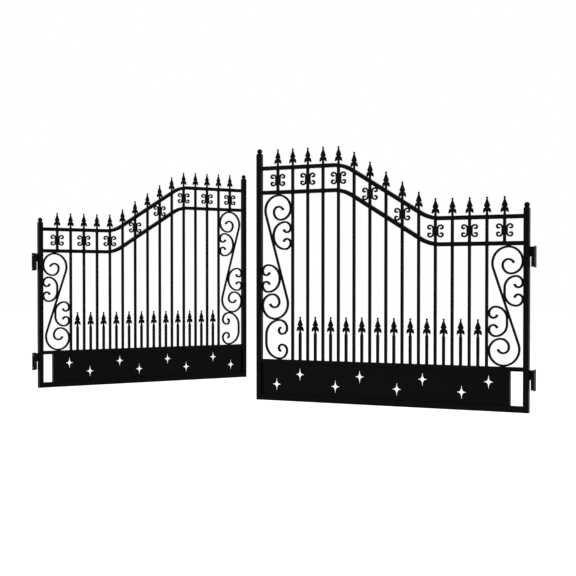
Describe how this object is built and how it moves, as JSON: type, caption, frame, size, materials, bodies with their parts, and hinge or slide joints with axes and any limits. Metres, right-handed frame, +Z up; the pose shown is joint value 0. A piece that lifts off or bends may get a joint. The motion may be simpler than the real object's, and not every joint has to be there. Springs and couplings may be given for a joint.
{
  "type": "wrought iron driveway gate",
  "caption": "Pair of arched driveway gates in black steel with spear finials, scroll panels, a starred kick panel and pillar hinges.",
  "frame": {"origin": "centre of the left lower hinge plate's flat face, where it meets the pillar; the hinge axes lie on y = 0", "axes": "+X across the drive from the left pillar to the right pillar, +Y into the property, the way the leaves swing open, +Z up"},
  "size_m": [4.364, 1.9557, 1.9268],
  "materials": {
    "frame_black": "black powder coat, satin to gloss",
    "casting_black": "black paint over cast iron",
    "scroll_black": "black paint over bent bar",
    "sheet_black": "black powder coat on flat sheet",
    "hinge_steel": "dark grey paint, satin"
  },
  "bodies": {
    "pillar_brackets": {"left_hinge_brackets": "hinge_steel", "right_hinge_brackets": "hinge_steel"},
    "left_leaf": {"left_hinge_stile": "frame_black", "left_meeting_stile": "frame_black", "left_stile_caps": "casting_black", "left_top_rail": "frame_black", "left_second_rail": "frame_black", "left_panel_top_rail": "frame_black", "left_bottom_rail": "frame_black", "left_panel_upright": "frame_black", "left_kick_panel": "sheet_black", "left_pickets": "frame_black", "left_dog_bars": "frame_black", "left_picket_finials": "casting_black", "left_dog_bar_finials": "casting_black", "left_butterfly_scrolls": "scroll_black", "left_meeting_side_s_scroll": "scroll_black", "left_meeting_side_c_scrolls": "scroll_black", "left_hinge_side_s_scroll": "scroll_black", "left_hinge_side_c_scrolls": "scroll_black", "left_gate_knuckles": "hinge_steel"},
    "right_leaf": {"right_hinge_stile": "frame_black", "right_meeting_stile": "frame_black", "right_stile_caps": "casting_black", "right_top_rail": "frame_black", "right_second_rail": "frame_black", "right_panel_top_rail": "frame_black", "right_bottom_rail": "frame_black", "right_panel_upright": "frame_black", "right_kick_panel": "sheet_black", "right_pickets": "frame_black", "right_dog_bars": "frame_black", "right_picket_finials": "casting_black", "right_dog_bar_finials": "casting_black", "right_butterfly_scrolls": "scroll_black", "right_meeting_side_s_scroll": "scroll_black", "right_meeting_side_c_scrolls": "scroll_black", "right_hinge_side_s_scroll": "scroll_black", "right_hinge_side_c_scrolls": "scroll_black", "right_gate_knuckles": "hinge_steel"}
  },
  "joints": [
    {"name": "left_leaf_swing", "type": "hinge", "parent": "pillar_brackets", "child": "left_leaf", "pos_m": [0.02, 0, 0], "axis": [0, 0, 1], "range_deg": [-63, 27]},
    {"name": "right_leaf_swing", "type": "hinge", "parent": "pillar_brackets", "child": "right_leaf", "pos_m": [4.344, 0, 0], "axis": [0, 0, -1], "range_deg": [0, 90]}
  ]
}
